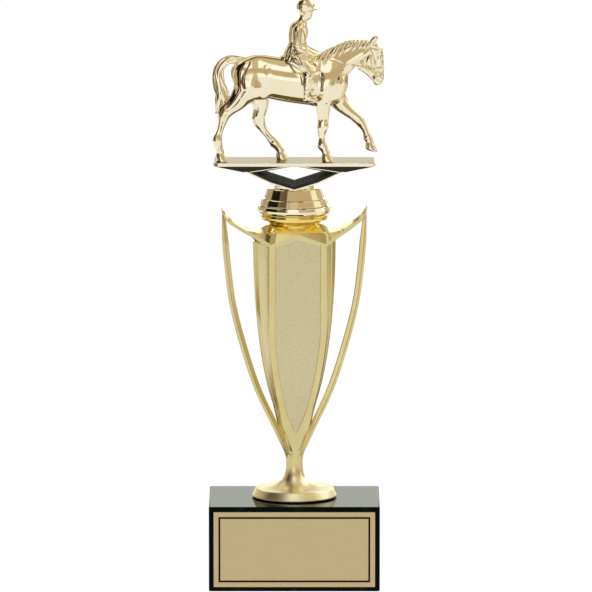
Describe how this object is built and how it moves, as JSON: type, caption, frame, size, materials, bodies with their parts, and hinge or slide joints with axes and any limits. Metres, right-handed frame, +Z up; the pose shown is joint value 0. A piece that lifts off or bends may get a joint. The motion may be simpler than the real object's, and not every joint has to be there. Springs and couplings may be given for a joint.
{
  "type": "horse trophy",
  "caption": "Award trophy: marble block with a blank plate, a gold two-handled riser, and a gold walking horse with its rider on a plate.",
  "frame": {"origin": "middle of the marble block's underside, on the riser's axis", "axes": "+Z up along the riser's axis; the plate faces -Y; the horse walks towards +X"},
  "size_m": [0.0945, 0.0711, 0.3174],
  "materials": {
    "marble": "polished dark green marble",
    "plate": "satin tan gold, thin black printed border line",
    "riser_gold": "metallised mirror gold, frosted panel fields",
    "figure_gold": "metallised mirror gold, paler"
  },
  "bodies": {
    "root": {"marble_base": "marble", "engraving_plate": "plate", "riser": "riser_gold", "horse_and_rider": "figure_gold"}
  },
  "joints": []
}
